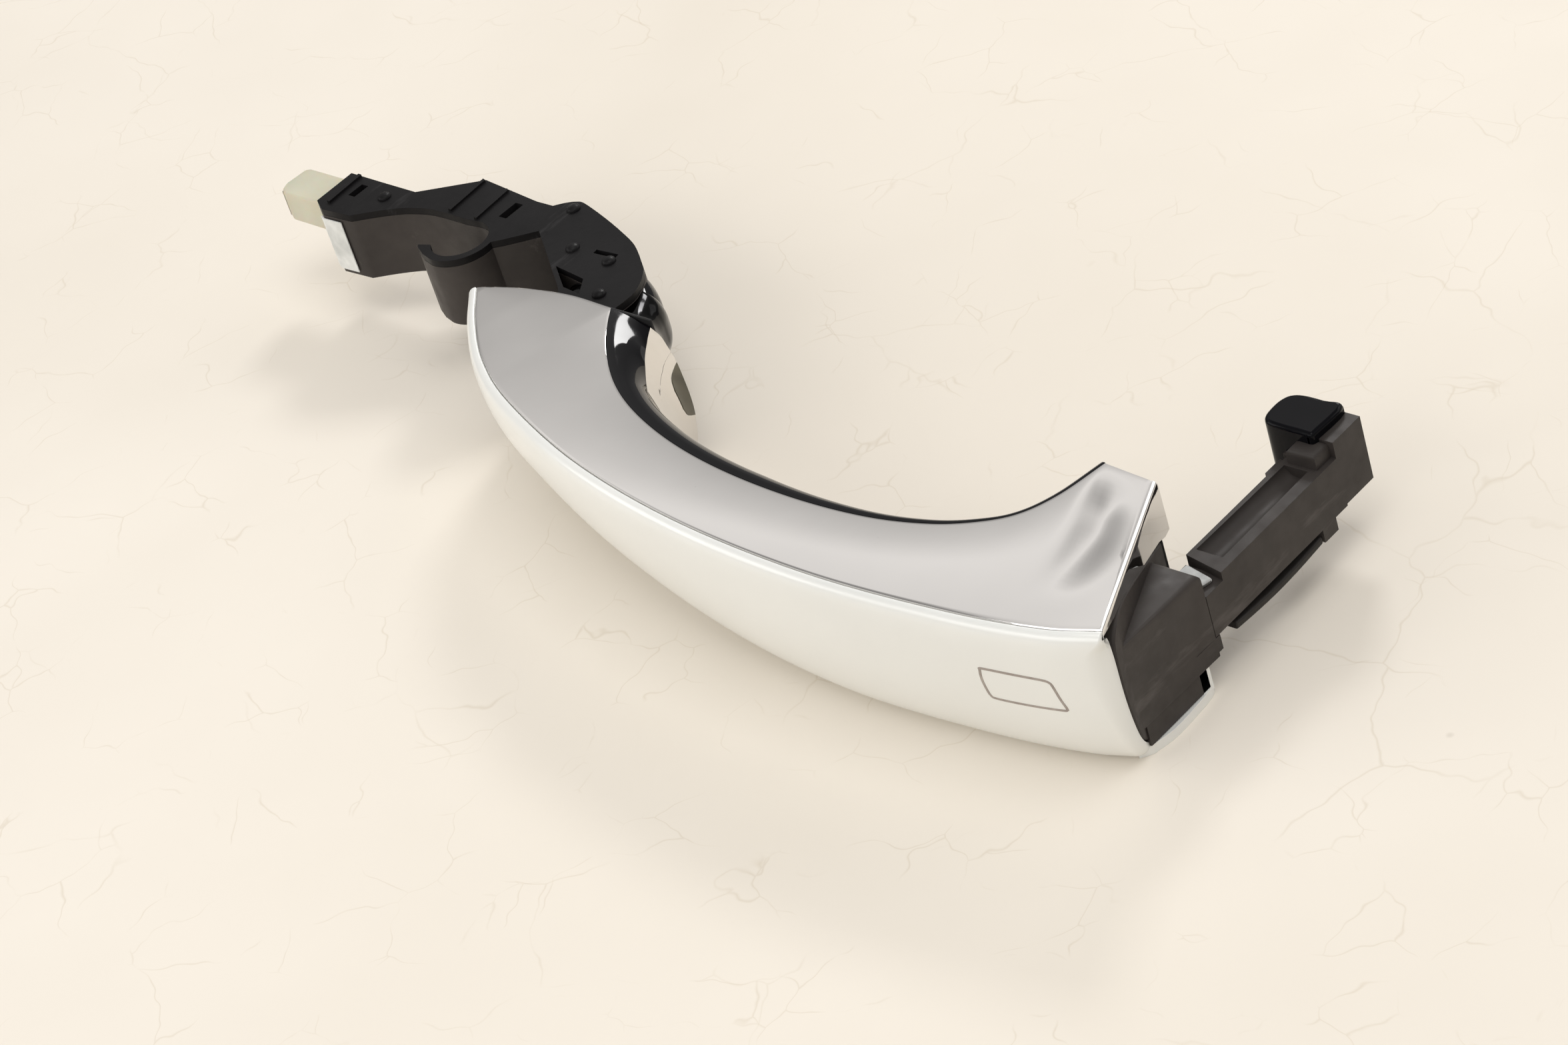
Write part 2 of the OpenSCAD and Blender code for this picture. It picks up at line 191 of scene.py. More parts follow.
def domed(name, points, z0, z1, r):
    """A plate with the given plan whose top edge is rounded."""
    p = counterclockwise(points)
    ahead = np.roll(p, -1, axis=0) - p
    ahead /= np.linalg.norm(ahead, axis=1)[:, None]
    behind = np.roll(ahead, 1, axis=0)
    inward = np.stack([-(ahead + behind)[:, 1], (ahead + behind)[:, 0]], 1)
    inward /= np.maximum(0.8, np.sum(inward * np.stack([-ahead[:, 1], ahead[:, 0]], 1), axis=1))[:, None]
    rings = [[(x, y, z0) for x, y in p]]
    for a in np.radians(np.linspace(0, 90, 5)):
        rings.append([(x, y, z1 - r + r * math.sin(a)) for x, y in p + inward * r * (1 - math.cos(a))])
    return fix_normals(closed_loft(name, rings))


def soften(obj, width, segments=3, angle=30.0):
    """Rounds those edges of a piece that bend by more than the angle."""
    mod = obj.modifiers.new("edges", "BEVEL")
    mod.width = width * MM
    mod.segments = segments
    mod.limit_method = "ANGLE"
    mod.angle_limit = math.radians(angle)
    mod.harden_normals = True
    mod.use_clamp_overlap = True
    return obj


def box_plan(x0, y0, x1, y1):
    """Rectangular plan between two corners."""
    return [(x0, y0), (x1, y0), (x1, y1), (x0, y1)]


def settle(obj):
    """Applies the modifiers of a piece."""
    bpy.context.view_layer.update()
    graph = bpy.context.evaluated_depsgraph_get()
    mesh = bpy.data.meshes.new_from_object(obj.evaluated_get(graph))
    obj.modifiers.clear()
    obj.data = mesh
    return obj


def combine(base, others, operation="UNION"):
    """Joins the others to the base, or cuts them out of it, and deletes them."""
    for o in others:
        mod = base.modifiers.new("part", "BOOLEAN")
        mod.operation = operation
        mod.object = o
        mod.solver = "EXACT"
    settle(base)
    for o in others:
        bpy.data.objects.remove(o)
    return base


def turned(name, profile, centre, count):
    """An upright turned solid from a profile of (radius, height), closed at both ends on its axis."""
    turn = [2 * math.pi * k / count for k in range(count)]
    rings = [[(r * math.cos(a), r * math.sin(a), h) for a in turn] for r, h in profile]
    return closed_loft(name, np.array(rings) + np.array(centre, float))


# ---------------------------------------------------------------- materials

def set_stops(ramp, stops):
    while len(ramp.elements) < len(stops):
        ramp.elements.new(0.5)
    for element, (at, colour) in zip(ramp.elements, stops):
        element.position = at
        element.color = (*colour, 1)


class Shader:
    """A principled material with helpers for its procedural detail."""

    def __init__(self, name, **sockets):
        self.mat = bpy.data.materials.new(name)
        self.mat.use_nodes = True
        self.tree = self.mat.node_tree
        self.bsdf = self.tree.nodes["Principled BSDF"]
        self.coords = self.tree.nodes.new("ShaderNodeTexCoord").outputs["Object"]
        for key, value in sockets.items():
            self.bsdf.inputs[key.replace("_", " ")].default_value = value

    def feed(self, made, values):
        """Links or sets each input of a node, by its name or its number."""
        for key, value in values.items():
            if isinstance(value, bpy.types.NodeSocket):
                self.tree.links.new(value, made.inputs[key])
            else:
                made.inputs[key].default_value = value
        return made

    def node(self, kind, **values):
        return self.feed(self.tree.nodes.new("ShaderNode" + kind), values)

    def noise(self, scale, detail=4.0, roughness=0.5, stretch=None):
        at = self.coords
        if stretch:
            at = self.node("Mapping", Vector=self.coords, Scale=stretch).outputs[0]
        made = self.node("TexNoise", Vector=at, Scale=scale, Detail=detail, Roughness=roughness)
        return made.outputs["Fac"]

    def dots(self, scale):
        """Distance to the nearest of many scattered points."""
        return self.node("TexVoronoi", Vector=self.coords, Scale=scale).outputs["Distance"]

    def ramp(self, fac, stops):
        """A grey or a colour for each stop of (position, value)."""
        made = self.node("ValToRGB", Fac=fac)
        set_stops(made.color_ramp, [(at, v if hasattr(v, "__len__") else (v, v, v)) for at, v in stops])
        return made.outputs[0]

    def mix(self, fac, a, b):
        """Colour a where fac is 0 and colour b where it is 1."""
        made = self.node("Mix")
        made.data_type = "RGBA"
        a, b = (v if isinstance(v, bpy.types.NodeSocket) else (*v, 1) for v in (a, b))
        return self.feed(made, {0: fac, 6: a, 7: b}).outputs[2]

    def bent(self, amount, scale):
        """The coordinates, pushed about by noise."""
        push = self.node("TexNoise", Vector=self.coords, Scale=scale, Detail=5.0, Roughness=0.6)
        made = self.node("Mix")
        made.data_type = "VECTOR"
        return self.feed(made, {0: amount, 4: self.coords, 5: push.outputs["Color"]}).outputs[1]

    def times(self, a, b):
        made = self.node("Math")
        made.operation = "MULTIPLY"
        return self.feed(made, {0: a, 1: b}).outputs[0]

    def set(self, socket, output):
        self.tree.links.new(output, self.bsdf.inputs[socket])
        return self

    def bump(self, *layers):
        """Layers of (height output, depth in mm)."""
        normal = None
        for height, depth in layers:
            made = self.node("Bump", Height=height, Distance=depth * MM, Strength=1.0)
            if normal is not None:
                self.tree.links.new(normal, made.inputs["Normal"])
            normal = made.outputs[0]
        return self.set("Normal", normal)


def linear(*rgb):
    """Linear colour from a display colour of 0 to 255."""
    return tuple((c / 255 / 12.92) if c <= 10 else ((c / 255 + 0.055) / 1.055) ** 2.4 for c in rgb)


def paint():
    """Pearl paint: fine flakes under a soft clear coat."""
    s = Shader("pearl_paint", Metallic=0.15, Coat_Weight=0.6, Coat_Roughness=0.12, Coat_IOR=1.45,
               Specular_IOR_Level=0.4)
    flakes = s.dots(5200)
    tone = s.ramp(s.noise(22, 3), [(0.3, linear(236, 237, 234)), (0.7, linear(242, 243, 240))])
    glint = s.ramp(flakes, [(0.0, 1.0), (0.28, 0.0)])
    s.set("Base Color", s.mix(s.times(glint, 0.35), tone, linear(244, 246, 248)))
    s.set("Roughness", s.ramp(s.noise(900, 2), [(0.3, 0.34), (0.7, 0.42)]))
    return s.bump((s.noise(480, 2), 0.004), (flakes, 0.002)).mat


def chrome(name, tone=(228, 226, 224), roughness=(0.035, 0.07)):
    """Bright metal, slightly cloudy, with a few small dull marks."""
    s = Shader(name, Metallic=1.0)
    marks = s.ramp(s.dots(210), [(0.0, 1.0), (0.035, 0.0)])
    clean = s.ramp(s.noise(30, 4), [(0.35, linear(*tone)), (0.7, linear(*(c + 5 for c in tone)))])
    dull = s.times(marks, s.ramp(s.noise(45, 2), [(0.5, 0.0), (0.62, 0.5)]))
    s.set("Base Color", s.mix(dull, clean, linear(120, 116, 112)))
    s.set("Roughness", s.ramp(s.noise(60, 5, 0.6), [(0.35, roughness[0]), (0.75, roughness[1])]))
    return s.bump((s.noise(26, 2), 0.006), (s.noise(700, 3), 0.0008)).mat


def gloss_black(name, ior=1.26):
    """Polished black plastic."""
    s = Shader(name, IOR=ior)
    tone = [(0.3, (0.0030, 0.0030, 0.0040)), (0.8, (0.0055, 0.0055, 0.0068))]
    s.set("Base Color", s.ramp(s.noise(60, 4), tone))
    s.set("Roughness", s.ramp(s.noise(160, 5, 0.65), [(0.45, 0.04), (0.8, 0.10)]))
    return s.bump((s.noise(40, 2), 0.004), (s.noise(900, 2), 0.0006)).mat


def moulded(name, low, high, rough=(0.42, 0.6), scuffs=0.35, shine=0.28):
    """Black moulded plastic: a fine grain, a mottled tone, and pale scuffs."""
    s = Shader(name, IOR=1.46, Specular_IOR_Level=shine)
    tone = s.ramp(s.noise(38, 5, 0.6), [(0.3, linear(*low)), (0.72, linear(*high))])
    lines = s.noise(90, 6, 0.75, stretch=(1, 0.12, 0.6))
    scuff = s.ramp(lines, [(0.62, 0.0), (0.74, scuffs)])
    s.set("Base Color", s.mix(scuff, tone, linear(*(min(255, c + 46) for c in high))))
    s.set("Roughness", s.ramp(s.noise(240, 4), [(0.3, rough[0]), (0.75, rough[1])]))
    return s.bump((s.noise(1500, 3), 0.012), (s.noise(70, 3), 0.02)).mat


def natural_nylon():
    """Unpigmented plastic that lets a little light through."""
    s = Shader("natural_nylon", IOR=1.5, Transmission_Weight=0.3, Subsurface_Weight=0.35,
               Subsurface_Scale=0.004)
    tone = [(0.3, linear(226, 220, 196)), (0.7, linear(238, 234, 214))]
    s.set("Base Color", s.ramp(s.noise(55, 3), tone))
    s.set("Roughness", s.ramp(s.noise(300, 3), [(0.3, 0.32), (0.7, 0.45)]))
    return s.bump((s.noise(500, 2), 0.01)).mat


def smoky_lens():
    """Dark clear plastic with faint upright streaks."""
    s = Shader("smoky_lens", IOR=1.5)
    s.set("Base Color", s.ramp(s.noise(300, 2, stretch=(1, 0.3, 0.1)),
                               [(0.35, linear(72, 68, 54)), (0.7, linear(104, 99, 82))]))
    s.set("Roughness", s.ramp(s.noise(200, 2), [(0.3, 0.12), (0.7, 0.22)]))
    return s.bump((s.noise(420, 1, stretch=(1, 1, 0.2)), 0.01)).mat


def varied(name, low, high, metallic=0.0, rough=(0.35, 0.55), scale=120, grain=0.01, stretch=None):
    """A plain finish with a mottled tone, uneven gloss and a fine grain."""
    s = Shader(name, Metallic=metallic)
    tone = [(0.3, linear(*low)), (0.7, linear(*high))]
    s.set("Base Color", s.ramp(s.noise(scale, 5, 0.6, stretch), tone))
    s.set("Roughness", s.ramp(s.noise(scale * 2.5, 3), [(0.3, rough[0]), (0.7, rough[1])]))
    return s.bump((s.noise(scale * 8, 3), grain)).mat


def table_top():
    """Old pale paint with hairline cracks and specks."""
    s = Shader("table_top", Specular_IOR_Level=0.25)
    tone = s.ramp(s.noise(2.6, 5, 0.55), [(0.3, linear(232, 224, 211)), (0.7, linear(245, 238, 227))])
    # Hairline cracks: cell borders, bent by noise and broken up
    bent = s.bent(0.06, 7.0)
    for scale, width, at in ((24, 0.008, 0.54), (47, 0.010, 0.50)):
        cell = s.node("TexVoronoi", Vector=bent, Scale=scale)
        cell.feature = "DISTANCE_TO_EDGE"
        crack = s.ramp(cell.outputs["Distance"], [(0.0, 1.0), (width, 0.0)])
        broken = s.ramp(s.noise(scale * 0.9, 3), [(at, 0.0), (at + 0.1, 0.34)])
        tone = s.mix(s.times(crack, broken), tone, linear(206, 192, 168))
    # Small dark specks
    near = s.ramp(s.dots(34), [(0.0, 1.0), (0.06, 0.0)])
    some = s.ramp(s.noise(11, 2), [(0.57, 0.0), (0.6, 0.9)])
    s.set("Base Color", s.mix(s.times(near, some), tone, linear(132, 116, 90)))
    s.set("Roughness", s.ramp(s.noise(12, 4), [(0.3, 0.5), (0.7, 0.68)]))
    return s.bump((s.noise(220, 4), 0.02)).mat


PAINT = paint()
CHROME = chrome("chrome")
# The wall's chrome is a little darker than the top's: painted shade for the wall down in the finger gap.
WALL_CHROME_SHADED = chrome("chrome_wall_shaded", (222, 219, 215))
DARK_CHROME = chrome("dark_chrome", (20, 20, 21), (0.08, 0.14))
GLOSS_BLACK = gloss_black("gloss_black")
HOOK_BLACK = gloss_black("hook_black", 1.18)
BLACK = moulded("black_moulding", (50, 46, 44), (68, 63, 60))
COVER_BLACK = moulded("cover_moulding", (15, 14, 15), (24, 23, 24), (0.38, 0.55), scuffs=0.5, shine=0.16)
SPRING_BLACK = moulded("spring_moulding", (34, 32, 31), (44, 41, 39))
RUBBER = varied("black_rubber", (18, 18, 19), (30, 29, 30), rough=(0.6, 0.8), scale=90)
NYLON = natural_nylon()
LENS = smoky_lens()
FINISHES = {
    "painted_shell": PAINT, "bright_trim": CHROME, "gloss_black": GLOSS_BLACK, "black_plastic": BLACK,
    "cover_plastic": COVER_BLACK, "spring_plastic": SPRING_BLACK, "black_rubber": RUBBER,
    "natural_plastic": NYLON, "light_lens": LENS,
    "contact_brass": varied("contact_brass", (196, 150, 70), (224, 184, 104), 1.0, (0.2, 0.35)),
    "white_foam": varied("white_foam", (176, 178, 178), (214, 216, 214), 0.0, (0.5, 0.8), 260, 0.05),
    "circuit_board": varied("circuit_board", (12, 70, 34), (22, 96, 48), 0.0, (0.3, 0.45)),
    "chip_plastic": varied("chip_case", (26, 26, 27), (40, 40, 41)),
    "copper": varied("copper", (186, 104, 62), (214, 136, 90), 1.0, (0.25, 0.4), stretch=(3, 1, 1)),
    "ferrite": varied("ferrite", (44, 44, 47), (62, 62, 66), 0.0, (0.5, 0.7), 300, 0.02),
    "wire_jacket": varied("wire_jacket", (40, 42, 96), (58, 60, 124), 0.0, (0.4, 0.55)),
    "screw_steel": varied("screw_steel", (150, 151, 154), (182, 183, 186), 1.0, (0.28, 0.42)),
    # The touch mark's line is darker than the paint: painted shade, standing in for the shade in the groove
    # of the real outline.
    "mark_line": varied("mark_line", (150, 140, 133), (174, 165, 158), 0.0, (0.5, 0.65), 400),
    "label": varied("label_paper", (196, 199, 196), (244, 245, 243), 0.0, (0.55, 0.7), 110, 0.01),
}


def place(obj, slot_name, *nodes, body="handle", material=None):
    """Gives a piece the finish of its slot, or the material given, puts it on its body, and hides the CAD
    nodes it stands for.
    """
    obj.data.materials.clear()
    obj.data.materials.append(material or FINISHES[slot_name])
    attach(obj, body)
    if nodes:
        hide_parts(*nodes)
    return obj


# ---------------------------------------------------------------- grip: outlines

outer_fine = spline(OUTER_EDGE, 40)
inner_fine = spline(INNER_EDGE, 24)
foot_fine = spline(FOOT_EDGE, 24)

TOP_WALL = 1.2       # wall of the bright top
EDGE_R = 0.28        # rounding at the border of the bright top
RIM_R = 1.3          # rounding of the rim over the rear end
CROWN = 0.22         # how far the bright top swells in its middle
WAVE = 0.8           # depth of the shallow trough in front of the rim
# Lower border of the wedge under the rim, as (place along the end, height)
WEDGE_LOW = np.array([(0, 4.6), (4, 5.2), (7, 6.9), (35, 14.2), (42, 14.8), (50, 16.4), (60, 16.5)])


def top_borders(rows_foot, rows_inner, rows_end):
    """Matching points on the door side and the painted side of the bright top, and their share along it."""
    foot = resample(foot_fine, rows_foot)
    inner = resample(inner_fine, rows_inner)
    low = end_at(0, -RIM_R)
    end = resample(np.array([inner_fine[-1], low]), rows_end)
    door = np.vstack([foot[:-1], inner[:-1], end])
    share = run_length(door) / run_length(door)[-1]
    outer = outer_fine.copy()
    outer[-1] = end_at(END_LENGTH, -RIM_R)
    at = run_length(outer)
    want = share * at[-1]
    painted = np.stack([np.interp(want, at, outer[:, k]) for k in range(2)], 1)
    return door, painted, share


def top_height(v, s, width):
    """Height of the bright top at a share v across it and a share s along it, where it is that wide."""
    edge = min(v, 1 - v) * width
    rolled = EDGE_R - math.sqrt(max(0.0, EDGE_R ** 2 - max(0.0, EDGE_R - edge) ** 2))
    crown = CROWN * (1 - (2 * v - 1) ** 2) * min(1.0, width / 20) * (1 - smooth(0.93, 1.0, s))
    trough = 0.95 + 0.012 * math.sin(4.5 * v)
    wave = WAVE * math.exp(-((s - trough) / 0.02) ** 2) * (1 - smooth(0.4, 0.85, v)) * smooth(0.04, 0.3, v)
    return TOP_Z + float(crown) - float(wave) - rolled


def bright_top():
    """Flat bright top whose rim rolls over the slanted end and turns down as a wedge."""
    door, painted, share = top_borders(26, 150, 14)
    across = np.concatenate([[0, 0.004, 0.012, 0.03], np.linspace(0.07, 0.93, 22), [0.97, 0.988, 0.996, 1]])
    rows = []
    for d, p, s in zip(door, painted, share):
        width = np.linalg.norm(p - d)
        rows.append([(*(d + (p - d) * v), top_height(v, s, width)) for v in across])
    inner = [[(x, y, z - TOP_WALL) for x, y, z in row] for row in rows]
    last = rows[-1]
    back = -TOP_WALL * END_OUT
    for a in np.radians(np.linspace(15, 90, 6)):
        out, drop = RIM_R * math.sin(a), RIM_R * (1 - math.cos(a))
        rows.append([(*(np.array([x, y]) + END_OUT * out), z - drop) for x, y, z in last])
        inner.append([(*(np.array([x, y]) + back * math.sin(a)), z - TOP_WALL) for x, y, z in rows[-1]])
    edge = rows[-1]
    for t in (0.15, 0.4, 0.7, 1.0):
        row = []
        for x, y, z in edge:
            u = float(np.dot(np.array([x, y]) - END_LOW, END_DIR))
            bottom = min(z - 0.05, float(np.interp(u, WEDGE_LOW[:, 0], WEDGE_LOW[:, 1])))
            row.append((x, y, z + (bottom - z) * t))
        rows.append(row)
        inner.append([(x + back[0], y + back[1], z - 0.3) for x, y, z in row])
    return place(wall_between("bright_top", rows, inner), "bright_trim", "top_trim")


def tuck(x):
    """How far the painted face tucks under the grip: least at the rear and at the very front tip."""
    least, most, tip, blend = 12, 34, 10, 4.0
    middle = min(least + 24 * (max(200 - x, 0) / 120) ** 2, most)
    front = tip + 0.9 * max(x - OUTER_EDGE[0][0], 0)
    return -blend * math.log(math.exp(-middle / blend) + math.exp(-front / blend))


BULGE = 3.0          # how far the painted face stands out past the top's outline
FACE_Z = 13.0        # where it stands out most
FACE_WALL = 1.6
FACE_STATIONS = 170
CORNER_R = 6.0       # rounding towards the rear end
# Lip between the top and the painted face, as (out, height)
LIP = spline([(0.1, 16.2), (0.1, 17.4), (0.5, 17.9), (1.4, 17.7), (2.25, 16.9), (2.78, 15.4), (3.0, 13.0)], 4)


def shell_profile(x):
    """Section of the painted face, as (out, height): the lip, then a quarter ellipse down to the base."""
    w = tuck(x)
    angle = np.radians(np.linspace(3, 90, 34))
    under = np.stack([BULGE - w + w * np.cos(angle), FACE_Z + (BASE_Z - FACE_Z) * np.sin(angle)], 1)
    return np.vstack([LIP, under])


def inner_profile(profile):
    """The profile moved in by the wall, towards a line inside the grip."""
    centre = np.array([profile[-1, 0] - 1.0, 8.0])
    way = centre - profile
    return profile + way / np.linalg.norm(way, axis=1)[:, None] * FACE_WALL


# Where the painted face meets the rear cap, as (place along the end, height)
CAP_BORDER = [(50.6, 17.3), (49.4, 15.4), (48.3, 12.8), (47.8, 10), (47.9, 4), (47.9, -1.6), (47.0, -9),
              (45.5, -15), (43.2, -18.6), (40.2, -20.8), (37.5, -22.0), (33, -22.2), (20, -22.3)]
PARALLEL = 1e-9
NO_HIT, LONGEST = 0.5, 8.0


def border_reach(rails, inward):
    """How far each rail's inward line runs before it meets the border of the cap."""
    curve = spline(CAP_BORDER, 8)
    reach = []
    for p, d in zip(rails, inward):
        hits = []
        for a, b in zip(curve[:-1], curve[1:]):
            e = b - a
            w = a - p
            det = d[1] * e[0] - d[0] * e[1]
            if abs(det) < PARALLEL:
                continue
            t = (w[1] * e[0] - w[0] * e[1]) / det
            k = (d[0] * w[1] - d[1] * w[0]) / det
            if 0 <= k <= 1 and t > 0:
                hits.append(t)
        reach.append(min(hits, default=NO_HIT))
    reach = np.minimum(np.array(reach), LONGEST)
    # Evened out, so that neighbouring rails don't cross
    for _ in range(6):
        reach[1:-1] = (reach[:-2] + 2 * reach[1:-1] + reach[2:]) / 4
    return reach


def painted_face():
    """Bulged painted face, with a round corner that ends at the rear cap."""
    path = resample(outer_fine, FACE_STATIONS)
    side = right_side(path)
    outer, inner = [], []
    for p, n in zip(path, side):
        profile = shell_profile(p[0])
        row = set_out(p, n, profile)
        nearest = max(float((np.array(v[:2]) - END_LOW) @ END_OUT) for v in row)
        if nearest > -CORNER_R - 1.5:
            break
        outer.append(row)
        inner.append(set_out(p, n, inner_profile(profile)))
    # Rails carried on to the rear end, in its own plane as (place along the end, height)
    rails = np.array([(float((path[-1] + side[-1] * o - END_LOW) @ END_DIR), z)
                      for o, z in shell_profile(path[-1][0])])
    tangent = np.gradient(rails, axis=0)
    inward = np.stack([tangent[:, 1], -tangent[:, 0]], 1)
    inward /= np.linalg.norm(inward, axis=1)[:, None]
    if inward[20, 0] > 0:
        inward = -inward
    reach = border_reach(rails, inward)
    radius = np.minimum(CORNER_R, reach * 0.92) * (0.1 + 0.9 * smooth(17.9, FACE_Z, rails[:, 1]))
    core = np.maximum(radius, FACE_WALL + 0.05)
    for a in np.radians(np.linspace(0, 90, 13)):
        for sheet, far, near in ((outer, radius, radius), (inner, core, core - FACE_WALL)):
            line = rails + inward * (far - near * math.cos(a))[:, None]
            sheet.append([(*end_at(u, d), z) for (u, z), d in zip(line, near * math.sin(a) - far)])
    border = rails + inward * reach[:, None]
    outer.append([(*end_at(u, 0), z) for u, z in border])
    outer.append([(*end_at(u, -0.35), z) for u, z in border + inward * 0.12])
    deep = border + inward * 0.2
    for depth in (-FACE_WALL - 0.1, -FACE_WALL):
        inner.append([(*end_at(u, depth), z) for u, z in deep])
    return place(wall_between("painted_face", outer, inner), "painted_shell", "outer_shell")


LINING_R = 6.6       # radius of the black roll in the middle of the grip
ROLL_POINTS = 22
WALL_POINTS = 30
FLARE_FULL = 75      # where along the grip its front foot is flared out fully,
FLARE_OVER = 24      # and how much further on the flare has gone
GAP_STATIONS = 170


def gap_frames():
    """Stations along the finger gap: point, direction into it, size of the section, share of the foot's."""
    path = resample(inner_fine, GAP_STATIONS)
    side = right_side(path)
    out = []
    for i, (p, n) in enumerate(zip(path, side)):
        flare = float(np.clip(1 - (p[0] - FLARE_FULL) / FLARE_OVER, 0, 1))
        size = float(np.clip(1.9 - 1.8 * i / (GAP_STATIONS - 1), 0.35, 1))
        g = flare * np.array([1.0, 0.0]) - (1 - flare) * n
        out.append((p, g / np.linalg.norm(g), size, flare ** 1.5))
    return out


def middle_section(size):
    """Black quarter roll and bowed bright wall, as (out, height)."""
    r = LINING_R * size
    black = [(r * math.sin(a), TOP_Z - r + r * math.cos(a)) for a in np.linspace(0, math.pi / 2, ROLL_POINTS)]
    top = TOP_Z - r
    wall = [(r * (1 - 0.8 * t ** 3) + 2.5 * size * math.sin(math.pi * t), top + (BASE_Z + 0.3 - top) * t)
            for t in np.linspace(0, 0.95, WALL_POINTS)]
    return np.array(black), np.array(wall)


def foot_section():
    """The same two parts where the grip flares out over the front foot."""
    black = [(12.3 * t, TOP_Z - 2.6 * t - 0.2 * t ** 3) for t in np.linspace(0, 1, ROLL_POINTS)]
    wall = spline([(12.3, 15.2), (13.3, 12), (14.6, 8), (15.9, 4), (17, 0), (17.8, -4), (18.1, -8),
                   (17.6, -12), (15.8, -18), (13, -22.4)], 6)
    return np.array(black), resample(wall, WALL_POINTS)


FOOT_BLACK, FOOT_WALL = foot_section()


def grip_section(size, share):
    """Roll and wall at a station, between the middle's and the foot's."""
    black, wall = middle_section(size)
    return black + (FOOT_BLACK - black) * share, wall + (FOOT_WALL - wall) * share


def leaned(ring, station):
    """The first stations of the bright wall reach on towards the door below the roll."""
    share = max(0.0, 1 - station / 5) ** 2
    heights, reach = (-10, 0, 6, 12, 15), (0, 1.0, 1.7, 1.4, 0)
    return [(x, y + share * float(np.interp(z, heights, reach)), z) for x, y, z in ring]


def black_roll():
    """Gloss black edge that rolls from the top into the finger gap."""
    rings = []
    for p, g, size, share in gap_frames():
        face = grip_section(size, share)[0]
        inside = [(max(0.02, o - 1.3 * size), z - 1.1) for o, z in face[::-1]]
        rings.append(set_out(p, g, list(face) + inside))
    return place(fix_normals(closed_loft("black_roll", rings)), "gloss_black", "grip_lining")


SEAM_AT = 0.2        # share down the wall of the fine seam in the front foot
SEAM_DEPTH = 0.12


def with_seam(face, share):
    """The wall's section with a fine groove, which fades out behind the foot."""
    sink = SEAM_DEPTH * float(smooth(0.2, 0.5, share))
    at = int(WALL_POINTS * SEAM_AT)
    before, after = face[at] * 0.94 + face[at - 1] * 0.06, face[at] * 0.94 + face[at + 1] * 0.06
    return np.vstack([face[:at], before, face[at] - np.array([sink, sink * 0.6]), after, face[at + 1:]])


def bright_wall():
    """Bright wall of the finger gap, with the underside of the grip."""
    rings = []
    for i, (p, g, size, share) in enumerate(gap_frames()):
        u = i / (GAP_STATIONS - 1)
        floor = float(np.interp(u, (0, 0.7, 0.9, 1), (8, 8, 24, 16)))
        wall = resample(grip_section(size, share)[1], WALL_POINTS)
        face = with_seam(wall - np.array([0.05, 0.0]), share)
        face[0, 1] = wall[0, 1] - 0.02
        under = [(face[-1][0] - 0.8, BASE_Z + 0.1), (face[-1][0] - 1.9, BASE_Z)]
        inside = [(max(o - 1.4, -0.9), min(z, TOP_Z - 2.0)) for o, z in face[::-1]]
        ring = set_out(p, g, list(face) + under + [(-floor, BASE_Z), (-floor, BASE_Z + 1.5)] + inside)
        rings.append(leaned(ring, i))
    made = fix_normals(closed_loft("bright_wall", rings))
    # Its chrome is the darker copy, which paints shade into the finger gap.
    return place(made, "bright_trim", "lower_trim", material=WALL_CHROME_SHADED)


# ---------------------------------------------------------------- rear end

def rear_cap():
    """Black cap over the slanted end, with the raised block that carries the pull arm."""
    outline = spline([(6.9, 6.3), (12, 8.0), (24, 11.6), (33.5, 13.9), (39, 14.3), (44, 12.8), (46.8, 9.6),
                      (47.6, -1.6), (46.7, -9), (45.2, -15), (42.6, -18.6), (39.2, -20.8), (35, -22.2),
                      (28, -22.2), (18, -20.5), (8, -17)], 3)
    away = outline - outline.mean(0)
    away /= np.linalg.norm(away, axis=1)[:, None]
    rings = [[(*end_at(u, depth), z) for u, z in outline - away * shrink]
             for depth, shrink in ((-6, 0.4), (-0.5, 0.0), (-0.1, 0.12), (0.2, 0.5))]
    cap = fix_normals(closed_loft("rear_cap", rings))
    block_plan = [end_at(13, -3), end_at(39.5, -3), (264.4, -60.2), (ARM_FACE, -33.5), (256.2, -33.5)]
    foot_plan = [end_at(20, -3), end_at(41, -3), (ARM_FACE - 0.6, -59), (ARM_FACE - 0.6, -38)]
    nose_plan = [(256, -36), (ARM_FACE - 0.8, -42), (ARM_FACE, -40), (ARM_FACE, -32), (256, -32)]
    combine(cap, [domed("cap_block", block_plan, -15, 7.6, 1.7),
                  prism("cap_foot", foot_plan, -20.4, -14.5),
                  prism("cap_nose", nose_plan, -14, -10.2)])
    soften(cap, 0.5, 2, 50)
    return place(cap, "black_plastic", "end_cap")


def shell_lip():
    """Painted lip that runs along the bottom below the cap, with the raised lug at its door end."""
    plan = spline([end_at(43.5, -2.5), end_at(42, 0.3), (264.4, -57.2), (265.4, -52), (265.2, -45),
                   (264.6, -38.6), (262.9, -35.6), (259.8, -35.2), (257.5, -38)], 3)
    lip = prism("shell_lip", plan, BASE_Z, -20.6)
    lug_plan = [(260.6, -38.4), (264.4, -40.5), (264.4, -37), (262.6, -35.3), (260.2, -35.6)]
    combine(lip, [prism("lip_lug", lug_plan, -21.5, -15.2)])
    soften(lip, 0.9, 3, 35)
    return place(lip, "painted_shell")


